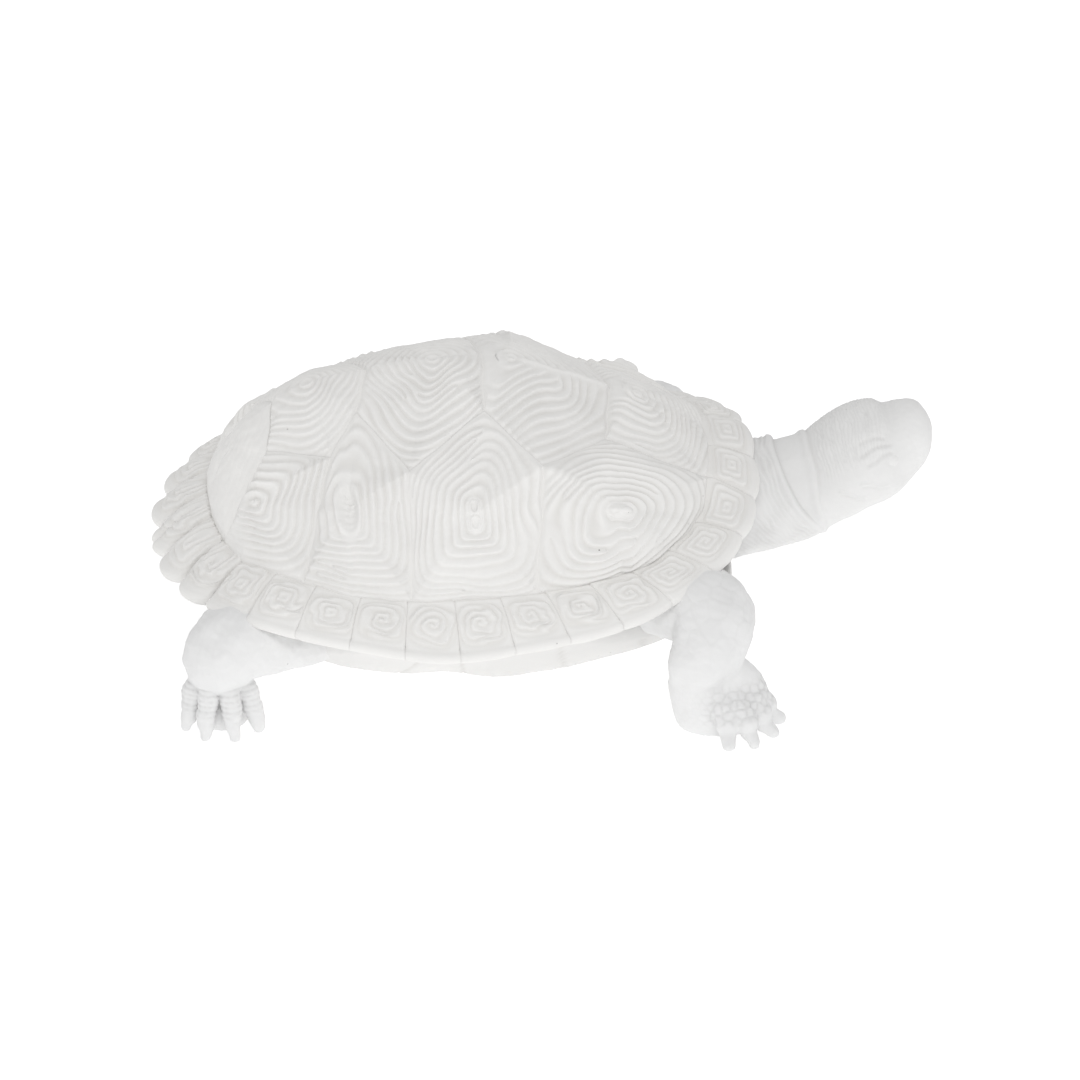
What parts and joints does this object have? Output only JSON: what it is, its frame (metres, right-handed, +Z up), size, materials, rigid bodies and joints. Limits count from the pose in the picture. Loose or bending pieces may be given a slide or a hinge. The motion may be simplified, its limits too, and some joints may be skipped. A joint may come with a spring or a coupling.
{
  "type": "turtle figurine",
  "caption": "Matt white cast figurine of a turtle standing with its head raised, with a domed shell of ringed plates, a toothed rim and clawed feet.",
  "frame": {"origin": "on the ground, under the middle of the whole figurine's box", "axes": "+X towards the head, +Y to the turtle's left, +Z up"},
  "size_m": [0.3025, 0.2028, 0.1223],
  "materials": {
    "shell_white": "matt, uncoated, like bisque or cast plaster",
    "plastron_white": "matt, uncoated, like bisque or cast plaster",
    "body_white": "matt, uncoated, like bisque or cast plaster",
    "eye_white": "matt, uncoated, like bisque or cast plaster"
  },
  "bodies": {
    "root": {"carapace": "shell_white", "carapace_rim": "shell_white", "plastron": "plastron_white", "trunk": "body_white", "head": "body_white", "eye_left": "eye_white", "eye_right": "eye_white", "neck": "body_white", "tail": "body_white", "front_leg_left": "body_white", "front_leg_right": "body_white", "front_foot_left": "body_white", "front_foot_right": "body_white", "hind_leg_left": "body_white", "hind_leg_right": "body_white", "hind_foot_left": "body_white", "hind_foot_right": "body_white"}
  },
  "joints": []
}
